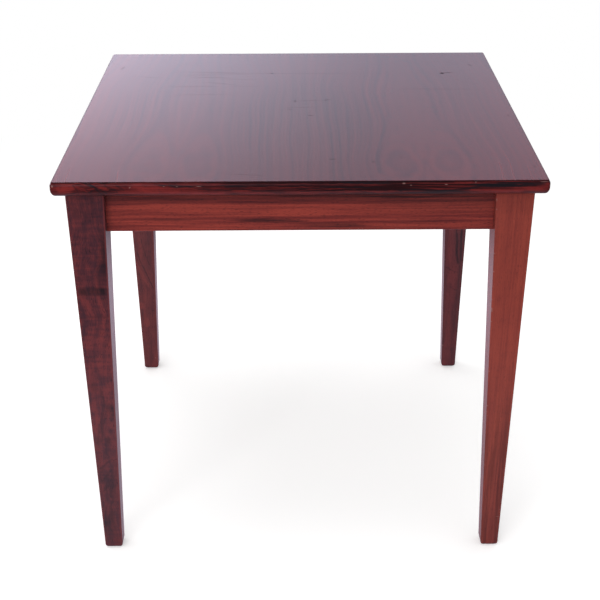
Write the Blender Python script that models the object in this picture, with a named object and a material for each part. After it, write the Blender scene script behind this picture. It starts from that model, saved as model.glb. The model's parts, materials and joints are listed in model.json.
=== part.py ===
"""A square side table in rosewood, built up the way its maker would join it.

The top is a board core with a mitred solid lipping on each edge and a veneer on each face.
It sits on four tapered legs and four aprons, joined by fluted dowels. A notched block in each
corner is screwed to both aprons, and one screw through it holds the top down.
Lengths are in metres. +Z is up, the front faces -Y, and the origin is on the floor below the
middle of the top.
"""

from math import asin, copysign, cos, pi, radians, sin

import bmesh
import bpy
from mathutils import Matrix, Vector

# Overall size
TOP_WIDTH = 0.560
TOP_DEPTH = 0.560
TABLE_HEIGHT = 0.514

# Top
TOP_THICKNESS = 0.018
VENEER_THICKNESS = 0.0008
LIPPING_WIDTH = 0.012
ARRIS_INSET = 0.0023
NOSE_DROP = 0.005
LOWER_ROUND = 0.0085
PLAN_CORNER = 0.004

# Legs
OVERHANG = 0.014
LEG_TOP = 0.044
LEG_FOOT = 0.022
LEG_ARRIS = 0.0012
FOOT_ROUND = 0.006

# Aprons
APRON_HEIGHT = 0.051
APRON_THICKNESS = 0.020
APRON_SETBACK = 0.012
APRON_ARRIS = 0.001

# Dowels
DOWEL_DIAMETER = 0.008
DOWEL_LENGTH = 0.035
DOWEL_CHAMFER = 0.001
DOWEL_FLUTE_DEPTH = 0.0003
DOWEL_EDGE_DISTANCE = 0.013
DOWEL_WEB = 0.0015

# Corner blocks
BLOCK_ARM = 0.062
BLOCK_LAND = 0.010
BLOCK_HEIGHT = 0.032

# Screws
SCREW_DIAMETER = 0.004
SCREW_HEAD_DIAMETER = 0.0076
SCREW_HEAD_RIM = 0.0004
SCREW_HEAD_HEIGHT = 0.0024
SCREW_POINT = 0.006
APRON_SCREW_LENGTH = 0.030
APRON_SCREW_COVER = 0.006
APRON_SCREW_INSET = 0.015
TOP_SCREW_LENGTH = 0.036
TOP_SCREW_COVER = 0.004

# Clearances
SEAT = 0.0003
BORE_OVERRUN = 0.030
MERGE_DISTANCE = 0.000001

# Facets
CORNER_STEPS = 4
NOSE_STEPS = 3
ROUND_STEPS = 6
ARRIS_STEPS = 2
FOOT_STEPS = 4
DOWEL_FLUTES = 8
SCREW_FACETS = 12
BORE_FACETS = 16
SHARP_ANGLE = radians(35)

# Levels and lines that the pieces share
FRAME_TOP = TABLE_HEIGHT - TOP_THICKNESS - SEAT
CORE_TOP = TABLE_HEIGHT - VENEER_THICKNESS - SEAT
CORE_THICKNESS = TOP_THICKNESS - 2 * (VENEER_THICKNESS + SEAT)
CORE_INSET = LIPPING_WIDTH + SEAT
UPPER_ROUND = (ARRIS_INSET ** 2 + NOSE_DROP ** 2) / (2 * ARRIS_INSET)
APRON_LINE_INSET = OVERHANG + APRON_SETBACK + APRON_THICKNESS / 2
APRON_INNER_INSET = OVERHANG + APRON_SETBACK + APRON_THICKNESS
BLOCK_NOTCH = LEG_TOP - APRON_SETBACK - APRON_THICKNESS + SEAT

# The four sides in quarter turns from the front, each with the corner at its left-hand end
SIDES = ("front", "right", "back", "left")
CORNERS = ("front_left", "front_right", "back_right", "back_left")

# Finishes: colour, roughness, metallic
FINISHES = {
    "veneer_rosewood": ((0.130, 0.026, 0.024), 0.22, 0.0),
    "lipping_rosewood": ((0.160, 0.018, 0.014), 0.25, 0.0),
    "apron_rosewood": ((0.170, 0.026, 0.021), 0.28, 0.0),
    "leg_rosewood_dark": ((0.055, 0.014, 0.016), 0.28, 0.0),
    "leg_rosewood_mid": ((0.100, 0.022, 0.020), 0.28, 0.0),
    "leg_rosewood_light": ((0.200, 0.036, 0.024), 0.28, 0.0),
    "balancing_veneer": ((0.150, 0.062, 0.036), 0.55, 0.0),
    "core_board": ((0.520, 0.360, 0.210), 0.80, 0.0),
    "beech": ((0.600, 0.400, 0.230), 0.65, 0.0),
    "screw_steel": ((0.560, 0.560, 0.540), 0.35, 1.0),
}
LEG_FINISHES = {
    "front_left": "leg_rosewood_dark",
    "front_right": "leg_rosewood_light",
    "back_right": "leg_rosewood_dark",
    "back_left": "leg_rosewood_mid",
}


def clear_scene():
    for existing in list(bpy.data.objects):
        bpy.data.objects.remove(existing, do_unlink=True)


def make_materials():
    """One plain Principled material for each finish."""
    materials = {}
    for name, (colour, roughness, metallic) in FINISHES.items():
        material = bpy.data.materials.new(name)
        material.use_nodes = True
        shader = material.node_tree.nodes["Principled BSDF"]
        shader.inputs["Base Color"].default_value = (*colour, 1.0)
        shader.inputs["Roughness"].default_value = roughness
        shader.inputs["Metallic"].default_value = metallic
        materials[name] = material
    return materials


def to_mesh(name, bm):
    """Turns a bmesh into a mesh with its faces pointing out and its round parts shaded smooth."""
    bmesh.ops.recalc_face_normals(bm, faces=bm.faces)
    mesh = bpy.data.meshes.new(name)
    bm.to_mesh(mesh)
    bm.free()
    mesh.shade_smooth()
    mesh.set_sharp_from_angle(angle=SHARP_ANGLE)
    return mesh


def add_object(name, mesh, place, parent):
    piece = bpy.data.objects.new(name, mesh)
    bpy.context.scene.collection.objects.link(piece)
    piece.parent = parent
    piece.matrix_basis = place
    return piece


def add_piece(name, mesh, place, parent, material):
    """One physical piece of the table. Copies that share a mesh share its material too."""
    piece = add_object(name, mesh, place, parent)
    if not mesh.materials:
        mesh.materials.append(material)
    return piece


def add_bore(name, mesh, place, parent, pieces):
    """One drilled hole through every piece that the fastener joins."""
    bore = add_object(name, mesh, place, parent)
    bore.hide_render = True
    bore.display_type = "WIRE"
    for piece in pieces:
        cut = piece.modifiers.new(name, "BOOLEAN")
        cut.operation = "DIFFERENCE"
        cut.solver = "EXACT"
        cut.object = bore


def box_bmesh(size_x, size_y, size_z):
    bm = bmesh.new()
    bmesh.ops.create_cube(bm, size=1, matrix=Matrix.Diagonal((size_x, size_y, size_z, 1)))
    return bm


def skin(bm, rings):
    """Faces between each ring of vertices and the next."""
    for lower, upper in zip(rings, rings[1:]):
        for here in range(len(lower)):
            after = (here + 1) % len(lower)
            bm.faces.new((lower[here], lower[after], upper[after], upper[here]))


def stacked_bmesh(outlines):
    """A closed solid through flat outlines, each given with its height, lowest first."""
    bm = bmesh.new()
    rings = [[bm.verts.new((x, y, height)) for x, y in outline] for outline, height in outlines]
    skin(bm, rings)
    bm.faces.new(rings[0])
    bm.faces.new(rings[-1])
    return bm


def turned_bmesh(profile, facets):
    """A profile of (radius, height) points, from axis to axis, spun about Z."""
    bm = bmesh.new()
    verts = [bm.verts.new((radius, 0, height)) for radius, height in profile]
    edges = [bm.edges.new(pair) for pair in zip(verts, verts[1:])]
    bmesh.ops.spin(bm, geom=verts + edges, cent=(0, 0, 0), axis=(0, 0, 1), angle=2 * pi,
                   steps=facets, use_merge=True)
    bmesh.ops.remove_doubles(bm, verts=bm.verts, dist=MERGE_DISTANCE)
    return bm


def arc_angles(start, end, steps):
    return [start + (end - start) * step / steps for step in range(steps + 1)]


def rounded_rectangle(half_x, half_y, radius):
    """Plan outline, anticlockwise, with the middle of each round corner on its mitre."""
    outline = []
    for turn, (side_x, side_y) in enumerate(((1, 1), (-1, 1), (-1, -1), (1, -1))):
        for angle in arc_angles(turn * pi / 2, (turn + 1) * pi / 2, CORNER_STEPS):
            x = side_x * (half_x - radius) + radius * cos(angle)
            y = side_y * (half_y - radius) + radius * sin(angle)
            outline.append((x, y))
    return outline


def top_outline(inset):
    """Outline of the top at a distance in from its edge."""
    return rounded_rectangle(TOP_WIDTH / 2 - inset, TOP_DEPTH / 2 - inset, max(PLAN_CORNER - inset, 0))


def nose_angle(depth):
    """Angle round the nose of the edge at a depth below the top face, 0 where the nose stands out most."""
    return asin((NOSE_DROP - depth) / UPPER_ROUND)


def nose_points(start, end):
    """(inset, height) points round the nose, which falls back to a crisp arris at the top face."""
    points = []
    for angle in arc_angles(start, end, NOSE_STEPS):
        height = TABLE_HEIGHT - NOSE_DROP + UPPER_ROUND * sin(angle)
        points.append((UPPER_ROUND * (1 - cos(angle)), height))
    return points


def top_veneer_bmesh():
    """The face veneer runs over the lippings, and the nose rounds off its edge."""
    edge = nose_points(nose_angle(VENEER_THICKNESS), nose_angle(0))
    return stacked_bmesh([(top_outline(inset), height) for inset, height in edge])


def lipping_profile():
    """(inset, height) section of a lipping: round below, upright, then the nose up to the veneer."""
    underside = TABLE_HEIGHT - TOP_THICKNESS
    lower_round = min(LOWER_ROUND, LIPPING_WIDTH, TOP_THICKNESS - NOSE_DROP)
    profile = [(LIPPING_WIDTH, underside)]
    for angle in arc_angles(0, pi / 2, ROUND_STEPS):
        profile.append((lower_round * (1 - sin(angle)), underside + lower_round * (1 - cos(angle))))
    profile += nose_points(0, nose_angle(VENEER_THICKNESS + SEAT))
    profile.append((profile[-1][0], CORE_TOP))
    profile.append((LIPPING_WIDTH, CORE_TOP))
    return profile


def lipping_bmesh(turn):
    """The section swept round the top as a frame, then sawn to one side by its two mitres."""
    bm = bmesh.new()
    rings = []
    for inset, height in lipping_profile():
        rings.append([bm.verts.new((x, y, height)) for x, y in top_outline(inset)])
    skin(bm, rings + rings[:1])
    bmesh.ops.remove_doubles(bm, verts=bm.verts, dist=MERGE_DISTANCE)
    half_run, half_reach = side_halves(turn)
    to_side = Matrix.Rotation(turn * pi / 2, 3, "Z")
    for end in (-1, 1):
        normal = (to_side @ Vector((end, 1, 0))).normalized()
        corner = to_side @ Vector((end * half_run, -half_reach, 0))
        geometry = bm.verts[:] + bm.edges[:] + bm.faces[:]
        sawn = bmesh.ops.bisect_plane(bm, geom=geometry, plane_co=corner - normal * SEAT / 2,
                                      plane_no=normal, clear_outer=True)
        rim = [item for item in sawn["geom_cut"] if isinstance(item, bmesh.types.BMEdge)]
        bmesh.ops.holes_fill(bm, edges=rim)
    return bm


def side_halves(turn):
    """Half the run of a side and half the distance to the side across, from the outline of the top."""
    if turn % 2:
        return TOP_DEPTH / 2, TOP_WIDTH / 2
    return TOP_WIDTH / 2, TOP_DEPTH / 2


def leg_half_width(height):
    """Half the width of a leg at a height above the floor."""
    return (LEG_FOOT + (LEG_TOP - LEG_FOOT) * height / FRAME_TOP) / 2


def leg_bmesh():
    """A square leg tapered evenly on its four faces, with a rounded foot and softened arrises."""
    bm = box_bmesh(1, 1, FRAME_TOP)
    bmesh.ops.translate(bm, verts=bm.verts, vec=(0, 0, FRAME_TOP / 2))
    for vert in bm.verts:
        half = leg_half_width(vert.co.z)
        vert.co.x = copysign(half, vert.co.x)
        vert.co.y = copysign(half, vert.co.y)
    foot = [edge for edge in bm.edges if all(vert.co.z < FOOT_ROUND for vert in edge.verts)]
    bmesh.ops.bevel(bm, geom=foot, offset=FOOT_ROUND, segments=FOOT_STEPS, profile=0.5, affect="EDGES")
    arrises = [edge for edge in bm.edges if runs_down_a_corner(edge)]
    bmesh.ops.bevel(bm, geom=arrises, offset=LEG_ARRIS, segments=ARRIS_STEPS, profile=0.5, affect="EDGES")
    return bm


def runs_down_a_corner(edge):
    """True for an edge that stays on one diagonal of the square section."""
    first, second = (vert.co for vert in edge.verts)
    on_diagonal = all(abs(abs(point.x) - abs(point.y)) < MERGE_DISTANCE for point in (first, second))
    return on_diagonal and first.x * second.x > 0 and first.y * second.y > 0


def apron_bmesh(half_run):
    """A rail whose ends are cut to the taper of the legs, its lower arrises softened."""
    bm = box_bmesh(1, APRON_THICKNESS, APRON_HEIGHT)
    bmesh.ops.translate(bm, verts=bm.verts, vec=(0, 0, FRAME_TOP - APRON_HEIGHT / 2))
    leg_line = half_run - OVERHANG - LEG_TOP / 2
    for vert in bm.verts:
        vert.co.x = copysign(leg_line - leg_half_width(vert.co.z) - SEAT, vert.co.x)
    middle = FRAME_TOP - APRON_HEIGHT / 2
    lower = [edge for edge in bm.edges
             if all(vert.co.z < middle for vert in edge.verts) and edge.verts[0].co.x * edge.verts[1].co.x < 0]
    bmesh.ops.bevel(bm, geom=lower, offset=APRON_ARRIS, segments=ARRIS_STEPS, profile=0.5, affect="EDGES")
    return bm


def block_bmesh():
    """A corner block, measured from the inner corner of the aprons, notched round the leg."""
    outline = (
        (BLOCK_NOTCH, SEAT),
        (BLOCK_ARM, SEAT),
        (BLOCK_ARM, BLOCK_LAND),
        (BLOCK_LAND, BLOCK_ARM),
        (SEAT, BLOCK_ARM),
        (SEAT, BLOCK_NOTCH),
        (BLOCK_NOTCH, BLOCK_NOTCH),
    )
    return stacked_bmesh([(outline, FRAME_TOP - BLOCK_HEIGHT), (outline, FRAME_TOP)])


def dowel_bmesh():
    """A fluted dowel along Z, chamfered at both ends."""
    radius = DOWEL_DIAMETER / 2

    def fluted(reach):
        outline = []
        for point in range(2 * DOWEL_FLUTES):
            angle = point * pi / DOWEL_FLUTES
            distance = reach - DOWEL_FLUTE_DEPTH * (point % 2)
            outline.append((distance * cos(angle), distance * sin(angle)))
        return outline

    return stacked_bmesh([
        (fluted(radius - DOWEL_CHAMFER), 0),
        (fluted(radius), DOWEL_CHAMFER),
        (fluted(radius), DOWEL_LENGTH - DOWEL_CHAMFER),
        (fluted(radius - DOWEL_CHAMFER), DOWEL_LENGTH),
    ])


def dowel_bore_bmesh():
    radius = DOWEL_DIAMETER / 2 + SEAT
    return turned_bmesh([(0, -SEAT), (radius, -SEAT), (radius, DOWEL_LENGTH + SEAT), (0, DOWEL_LENGTH + SEAT)],
                        BORE_FACETS)


def screw_bmesh(length):
    """A countersunk wood screw along Z, from the flat of its head at 0 to its point."""
    head = SCREW_HEAD_DIAMETER / 2
    shank = SCREW_DIAMETER / 2
    profile = [(0, 0), (head, 0), (head, SCREW_HEAD_RIM), (shank, SCREW_HEAD_HEIGHT),
               (shank, length - SCREW_POINT), (0, length)]
    return turned_bmesh(profile, SCREW_FACETS)


def screw_bore_bmesh(length):
    """The hole for a screw: counterbore above its head, countersink, then clearance to its point."""
    head = SCREW_HEAD_DIAMETER / 2 + SEAT
    shank = SCREW_DIAMETER / 2 + SEAT
    profile = [(0, -BORE_OVERRUN), (head, -BORE_OVERRUN), (head, SCREW_HEAD_RIM + SEAT),
               (shank, SCREW_HEAD_HEIGHT + SEAT), (shank, length + SEAT), (0, length + SEAT)]
    return turned_bmesh(profile, BORE_FACETS)


def pointing(direction, start):
    """Places a piece made along Z so that it starts at a point and runs in a direction."""
    return Matrix.Translation(start) @ Vector((0, 0, 1)).rotation_difference(Vector(direction)).to_matrix().to_4x4()


def build_top(parent, materials):
    """Core, lippings and the two veneers."""
    core_size = (TOP_WIDTH - 2 * CORE_INSET, TOP_DEPTH - 2 * CORE_INSET)
    core = add_piece("top_core", to_mesh("top_core", box_bmesh(*core_size, CORE_THICKNESS)),
                     Matrix.Translation((0, 0, CORE_TOP - CORE_THICKNESS / 2)), parent, materials["core_board"])
    underside = TABLE_HEIGHT - TOP_THICKNESS
    backing = add_piece("underside_veneer",
                        to_mesh("underside_veneer", box_bmesh(*core_size, VENEER_THICKNESS)),
                        Matrix.Translation((0, 0, underside + VENEER_THICKNESS / 2)), parent,
                        materials["balancing_veneer"])
    add_piece("top_veneer", to_mesh("top_veneer", top_veneer_bmesh()), Matrix.Identity(4), parent,
              materials["veneer_rosewood"])
    for turn, side in enumerate(SIDES):
        name = f"lipping_{side}"
        add_piece(name, to_mesh(name, lipping_bmesh(turn)), Matrix.Identity(4), parent,
                  materials["lipping_rosewood"])
    return core, backing


def build_aprons(parent, materials):
    """The four rails, each made along the front and turned to its own side."""
    aprons = {}
    for turn, side in enumerate(SIDES):
        half_run, half_reach = side_halves(turn)
        place = Matrix.Rotation(turn * pi / 2, 4, "Z")
        place = place @ Matrix.Translation((0, APRON_LINE_INSET - half_reach, 0))
        name = f"apron_{side}"
        aprons[side] = add_piece(name, to_mesh(name, apron_bmesh(half_run)), place, parent,
                                 materials["apron_rosewood"])
    return aprons


def build_corner(turn, parent, materials, meshes, aprons, top_layers):
    """Leg, block, dowels and screws of one corner, set out as the left-hand front one and turned."""
    corner = CORNERS[turn]
    side = SIDES[turn]
    neighbour = SIDES[turn - 1]
    half_run, half_reach = side_halves(turn)
    around = Matrix.Rotation(turn * pi / 2, 4, "Z")
    swap = Matrix(((0, 1, 0, 0), (1, 0, 0, 0), (0, 0, 1, 0), (0, 0, 0, 1)))

    leg_inset = OVERHANG + LEG_TOP / 2
    leg_place = around @ Matrix.Translation((leg_inset - half_run, leg_inset - half_reach, 0))
    leg = add_piece(f"leg_{corner}", to_mesh(f"leg_{corner}", leg_bmesh()), leg_place, parent,
                    materials[LEG_FINISHES[corner]])

    frame_corner = Vector((APRON_INNER_INSET - half_run, APRON_INNER_INSET - half_reach, 0))
    from_corner = around @ Matrix.Translation(frame_corner)
    block = add_piece(f"corner_block_{corner}", to_mesh(f"corner_block_{corner}", block_bmesh()), from_corner,
                      parent, materials["beech"])

    centre = (BLOCK_NOTCH + (BLOCK_ARM + BLOCK_LAND) / 2) / 2
    head_level = CORE_TOP - TOP_SCREW_COVER - TOP_SCREW_LENGTH
    place = from_corner @ Matrix.Translation((centre, centre, head_level))
    add_piece(f"top_screw_{corner}", meshes["top_screw"], place, parent, materials["screw_steel"])
    add_bore(f"top_screw_bore_{corner}", meshes["top_screw_bore"], place, parent, (block, *top_layers))

    levels = {"upper": FRAME_TOP - DOWEL_EDGE_DISTANCE, "lower": FRAME_TOP - APRON_HEIGHT + DOWEL_EDGE_DISTANCE}
    dowel_start = SEAT - APRON_THICKNESS / 2 + DOWEL_DIAMETER / 2 + SEAT + DOWEL_WEB
    screw_start = APRON_SCREW_COVER - APRON_THICKNESS + APRON_SCREW_LENGTH
    screw_level = FRAME_TOP - BLOCK_HEIGHT / 2
    for rail, end, flip in ((side, neighbour, Matrix.Identity(4)), (neighbour, side, swap)):
        for level, height in levels.items():
            start = flip @ Vector((dowel_start, -APRON_THICKNESS / 2, height))
            place = from_corner @ pointing(flip @ Vector((1, 0, 0)), start)
            name = f"dowel_{rail}_{end}_{level}"
            add_piece(name, meshes["dowel"], place, parent, materials["beech"])
            add_bore(f"{name}_bore", meshes["dowel_bore"], place, parent, (leg, aprons[rail]))
        start = flip @ Vector((BLOCK_ARM - APRON_SCREW_INSET, screw_start, screw_level))
        place = from_corner @ pointing(flip @ Vector((0, -1, 0)), start)
        name = f"apron_screw_{rail}_{end}"
        add_piece(name, meshes["apron_screw"], place, parent, materials["screw_steel"])
        add_bore(f"{name}_bore", meshes["apron_screw_bore"], place, parent, (block, aprons[rail]))


def main():
    clear_scene()
    materials = make_materials()
    table = bpy.data.objects.new("side_table", None)
    bpy.context.scene.collection.objects.link(table)
    top_layers = build_top(table, materials)
    aprons = build_aprons(table, materials)
    meshes = {
        "dowel": to_mesh("dowel", dowel_bmesh()),
        "dowel_bore": to_mesh("dowel_bore", dowel_bore_bmesh()),
        "apron_screw": to_mesh("apron_screw", screw_bmesh(APRON_SCREW_LENGTH)),
        "apron_screw_bore": to_mesh("apron_screw_bore", screw_bore_bmesh(APRON_SCREW_LENGTH)),
        "top_screw": to_mesh("top_screw", screw_bmesh(TOP_SCREW_LENGTH)),
        "top_screw_bore": to_mesh("top_screw_bore", screw_bore_bmesh(TOP_SCREW_LENGTH)),
    }
    for turn in range(len(CORNERS)):
        build_corner(turn, table, materials, meshes, aprons, top_layers)


main()
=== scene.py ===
"""Side table of the 1960s kind: every piece with its lacquered rosewood, on a pale studio floor."""

import json
from dataclasses import dataclass
from math import asin, cos, pi, radians, sin

import bmesh
import bpy
from bpy.props import FloatProperty, FloatVectorProperty, PointerProperty
from mathutils import Matrix, Vector


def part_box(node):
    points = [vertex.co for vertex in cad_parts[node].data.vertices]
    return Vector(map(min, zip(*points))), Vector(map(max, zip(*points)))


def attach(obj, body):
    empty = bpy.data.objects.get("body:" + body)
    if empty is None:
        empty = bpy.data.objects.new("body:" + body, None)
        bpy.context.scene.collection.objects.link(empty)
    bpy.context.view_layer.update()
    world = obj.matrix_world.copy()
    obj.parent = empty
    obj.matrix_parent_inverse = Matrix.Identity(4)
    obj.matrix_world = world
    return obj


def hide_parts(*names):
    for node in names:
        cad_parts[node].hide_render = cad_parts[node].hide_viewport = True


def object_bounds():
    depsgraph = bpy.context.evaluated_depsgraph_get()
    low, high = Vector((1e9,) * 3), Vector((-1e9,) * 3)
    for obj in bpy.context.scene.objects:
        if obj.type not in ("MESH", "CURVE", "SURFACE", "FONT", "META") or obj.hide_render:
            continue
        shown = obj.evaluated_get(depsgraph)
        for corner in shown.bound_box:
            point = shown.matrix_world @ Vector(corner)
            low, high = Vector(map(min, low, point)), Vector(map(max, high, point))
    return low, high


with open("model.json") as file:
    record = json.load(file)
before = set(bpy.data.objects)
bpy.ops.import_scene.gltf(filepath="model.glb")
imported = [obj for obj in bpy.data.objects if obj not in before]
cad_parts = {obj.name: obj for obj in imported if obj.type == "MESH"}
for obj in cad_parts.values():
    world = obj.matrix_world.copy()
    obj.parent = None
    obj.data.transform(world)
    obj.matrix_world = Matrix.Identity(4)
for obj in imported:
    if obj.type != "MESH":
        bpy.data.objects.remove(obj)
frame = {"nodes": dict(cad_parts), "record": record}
CAD_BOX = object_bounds()

bl_info = {
    "name": "Rosewood side table",
    "version": (1, 0, 0),
    "blender": (4, 5, 0),
    "location": "View3D > Sidebar > Side table",
    "description": "Dresses the side table in lacquered rosewood and sets it on a studio floor",
    "category": "Object",
}

SAME_PLACE = 1e-6  # Corners nearer than this, in metres, are one
SHARP_DEGREES = 35  # An edge that turns more than this stays crisp
MM = 0.001

# How finely rounds are cut
PLAN_STEPS = 6
FACE_STEPS = 3
NOSE_STEPS = 8
LOWER_STEPS = 12
FOOT_STEPS = 8
LEG_STEPS = 16
ARRIS_STEPS = 4
HOLE_FACETS = 32
SCREW_FACETS = 16
RINGS_A_TURN = 4

# Places that come from the frame
HALF_WIDTH = CAD_BOX[1].x
HALF_DEPTH = CAD_BOX[1].y
TABLE_HEIGHT = CAD_BOX[1].z
VENEER_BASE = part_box("top_veneer")[0].z
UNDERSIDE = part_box("underside_veneer")[0].z
LIPPING_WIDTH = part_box("lipping_front")[1].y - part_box("lipping_front")[0].y
SIDES = ("front", "right", "back", "left")
CORNERS = ("front_left", "front_right", "back_right", "back_left")


def length(name, default, description):
    """A size in metres that a user may change."""
    return FloatProperty(name=name, default=default, min=0, precision=4, subtype="DISTANCE",
                         unit="LENGTH", description=description)


def colour(name, default, description):
    """A colour that a user may change."""
    return FloatVectorProperty(name=name, default=default, size=3, min=0, max=1, subtype="COLOR",
                               description=description)


def turn(name, default, description):
    """An angle that a user may change, given in degrees."""
    return FloatProperty(name=name, default=radians(default), subtype="ANGLE", description=description)


def power(name, default, description):
    """The power of a lamp that a user may change, in watts."""
    return FloatProperty(name=name, default=default, min=0, unit="POWER", description=description)


class TopSizes(bpy.types.PropertyGroup):
    """Sizes of the top that its box doesn't give."""
    arris_inset: length("Arris inset", 0.0023, "How far the arris of the top face stands back from the nose")
    nose_drop: length("Nose drop", 0.005, "How far below the top face the nose stands out most")
    lower_round: length("Lower round", 0.0085, "Radius of the round below the upright edge")
    plan_corner: length("Corner radius", 0.004, "Radius of the four corners in plan")
    leaf_width: length("Leaf width", 0.1455, "Width of an inner leaf of the book-matched veneer")
    nick_length: length("Nick length", 0.004, "Length of a nick in the front edge")
    nick_depth: length("Nick depth", 0.0006, "Depth of a nick in the front edge")


class FrameSizes(bpy.types.PropertyGroup):
    """Sizes of the legs, the aprons and the corner blocks that their boxes don't give."""
    foot_width: length("Foot width", 0.022, "Width of a leg at the floor")
    foot_round: length("Foot round", 0.006, "Radius round the bottom of a leg")
    leg_arris: length("Leg arris", 0.0012, "Radius of the long arrises of a leg")
    apron_arris: length("Apron arris", 0.001, "Radius of the lower arrises of an apron")
    block_land: length("Block land", 0.0097, "Width left at the end of each arm of a corner block")
    block_notch: length("Block notch", 0.012, "Depth of the notch that clears the leg")
    block_ease: length("Block ease", 0.0004, "Softening of the planed edges of a corner block")


class ScrewSizes(bpy.types.PropertyGroup):
    """Sizes of the wood screws and of the holes for them."""
    head: length("Head", 0.0076, "Diameter of the countersunk head")
    head_rim: length("Head rim", 0.0004, "Height of the rim round the head")
    head_height: length("Head height", 0.0024, "Height of the countersunk head")
    shank: length("Shank", 0.0040, "Diameter of the plain shank")
    core: length("Core", 0.0029, "Diameter at the root of the thread")
    pitch: length("Pitch", 0.0018, "Distance from one turn of the thread to the next")
    point: length("Point", 0.006, "Length of the tapered point")
    slot_width: length("Slot width", 0.0010, "Width of the driver slot")
    slot_depth: length("Slot depth", 0.0009, "Depth of the driver slot")
    clearance: length("Clearance", 0.0003, "Room round a screw in its hole")


class Colours(bpy.types.PropertyGroup):
    """Light and dark tones of each finish, as they look under a plain white light."""
    veneer_light: colour("Veneer light", (0.156, 0.027, 0.026), "Light bands of the face veneer")
    veneer_dark: colour("Veneer dark", (0.028, 0.006, 0.013), "Dark bands of the face veneer")
    veneer_glow: colour("Veneer glow", (0.050, 0.004, 0.004), "Red added towards the back and the sides")
    lipping_light: colour("Lipping light", (0.186, 0.019, 0.018), "Red wood of the lippings")
    lipping_dark: colour("Lipping dark", (0.036, 0.006, 0.008), "Brown wood of the lippings")
    # Lipping shade also colours the painted dark band along the top of the front nose
    lipping_shade: colour("Lipping shade", (0.020, 0.004, 0.005), "Darkest brown of the front lipping")
    apron_light: colour("Apron light", (0.300, 0.044, 0.032), "Light bands of the aprons")
    apron_dark: colour("Apron dark", (0.110, 0.016, 0.018), "Dark bands of the aprons")
    dark_leg_light: colour("Dark leg light", (0.165, 0.030, 0.032), "Light bands of the dark legs")
    dark_leg_dark: colour("Dark leg dark", (0.056, 0.018, 0.026), "Dark bands of the dark legs")
    mid_leg_light: colour("Mid leg light", (0.190, 0.036, 0.034), "Light bands of the middle leg")
    mid_leg_dark: colour("Mid leg dark", (0.080, 0.020, 0.024), "Dark bands of the middle leg")
    light_leg_light: colour("Light leg light", (0.340, 0.061, 0.040), "Light bands of the light leg")
    light_leg_dark: colour("Light leg dark", (0.180, 0.031, 0.027), "Dark bands of the light leg")
    # Ink also colours painted shade: the shadow along the top of the front apron and at its ends, and the
    # dark cut edge of the face veneer
    ink: colour("Ink", (0.010, 0.008, 0.011), "Black lines of the rosewood")
    # This bare-wood colour also paints the glints at both ends of the front nose: painted highlights
    worn: colour("Worn wood", (0.300, 0.170, 0.155), "Bare wood where the lacquer has worn off")
    beech_light: colour("Beech light", (0.660, 0.450, 0.260), "Light bands of the beech")
    beech_dark: colour("Beech dark", (0.480, 0.300, 0.160), "Dark bands of the beech")
    backing_light: colour("Backing light", (0.200, 0.085, 0.050), "Light bands of the veneer below")
    backing_dark: colour("Backing dark", (0.090, 0.035, 0.022), "Dark bands of the veneer below")


class StageSettings(bpy.types.PropertyGroup):
    """The camera and the light."""
    lens: FloatProperty(name="Lens", default=76.873, min=1, unit="CAMERA", description="Focal length")
    place: FloatVectorProperty(name="Camera", default=(-0.0041, -1.6243, 1.0082), subtype="TRANSLATION",
                               unit="LENGTH", description="Where the camera stands")
    pitch: turn("Pitch", 25.461, "How far the camera looks down")
    yaw: turn("Yaw", -0.145, "How far the camera looks to the left")
    roll: turn("Roll", 0.26, "How far the camera leans to the right")
    surround: FloatProperty(name="Surround", default=0.62, min=0, description="Light from all round")
    overhead: power("Overhead", 18.0, "Softbox above")
    fill: power("Fill", 34.0, "Softbox in front")
    floor: FloatProperty(name="Floor lift", default=0.36, min=0, description="White added to the floor")


class TableSettings(bpy.types.PropertyGroup):
    """Everything that a user would change."""
    top: PointerProperty(type=TopSizes)
    frame: PointerProperty(type=FrameSizes)
    screw: PointerProperty(type=ScrewSizes)
    colours: PointerProperty(type=Colours)
    stage: PointerProperty(type=StageSettings)


class Value:
    """A number that varies over a surface. A sum on values adds its Math nodes."""

    def __init__(self, nodes, socket):
        self.nodes = nodes
        self.socket = socket

    def __add__(self, other):
        return self.nodes.math("ADD", self, other)

    def __sub__(self, other):
        return self.nodes.math("SUBTRACT", self, other)

    def __rsub__(self, other):
        return self.nodes.math("SUBTRACT", other, self)

    def __mul__(self, other):
        return self.nodes.math("MULTIPLY", self, other)

    def __truediv__(self, other):
        return self.nodes.math("DIVIDE", self, other)

    def __abs__(self):
        return self.nodes.math("ABSOLUTE", self)

    __radd__ = __add__
    __rmul__ = __mul__


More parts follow.
